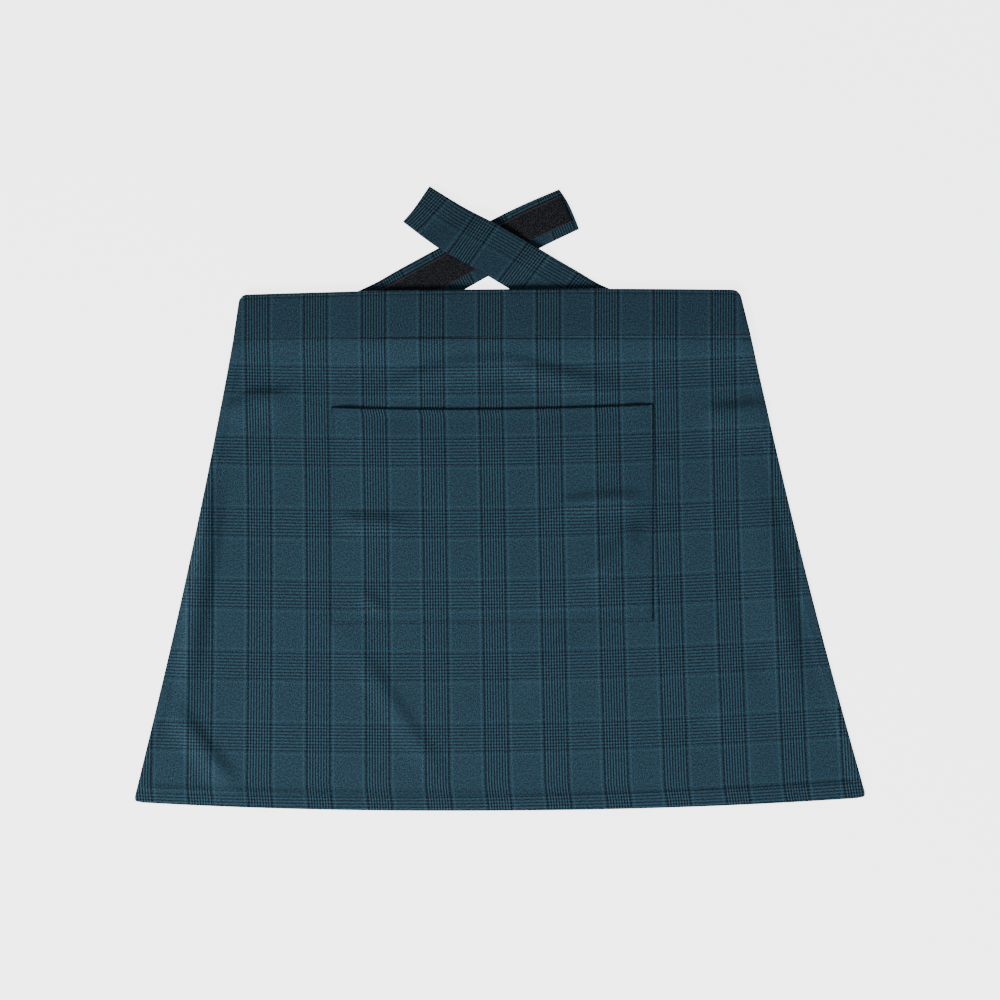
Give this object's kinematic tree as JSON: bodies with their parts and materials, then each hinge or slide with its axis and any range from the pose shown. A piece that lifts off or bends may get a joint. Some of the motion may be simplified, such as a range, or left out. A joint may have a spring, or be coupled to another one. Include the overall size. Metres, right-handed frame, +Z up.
{
  "type": "waiter apron",
  "caption": "Short waist apron in dark teal glen check with a wide patch pocket, folded waistband and crossed hook-and-loop belts, laid flat.",
  "frame": {"origin": "middle of the base of the whole outline, on the surface that the apron lies on", "axes": "+X across the apron from the left belt's end of the band to the right belt's end, +Y from the hem to the belts, +Z up from the surface, out of the apron's face"},
  "size_m": [0.7004, 0.5996, 0.007],
  "materials": {
    "check_cloth": "fine twill in a glen check, matt with a faint sheen",
    "band_cloth": "the same check in two layers, with vertical groups of lines only, matt",
    "loop_tape": "black napped loop tape, matt",
    "hook_tape": "black hook tape, matt"
  },
  "bodies": {
    "root": {"skirt_panel": "check_cloth", "waistband": "band_cloth", "pocket": "check_cloth", "left_belt": "check_cloth", "right_belt": "check_cloth", "loop_strip": "loop_tape", "hook_strip": "hook_tape"}
  },
  "joints": []
}
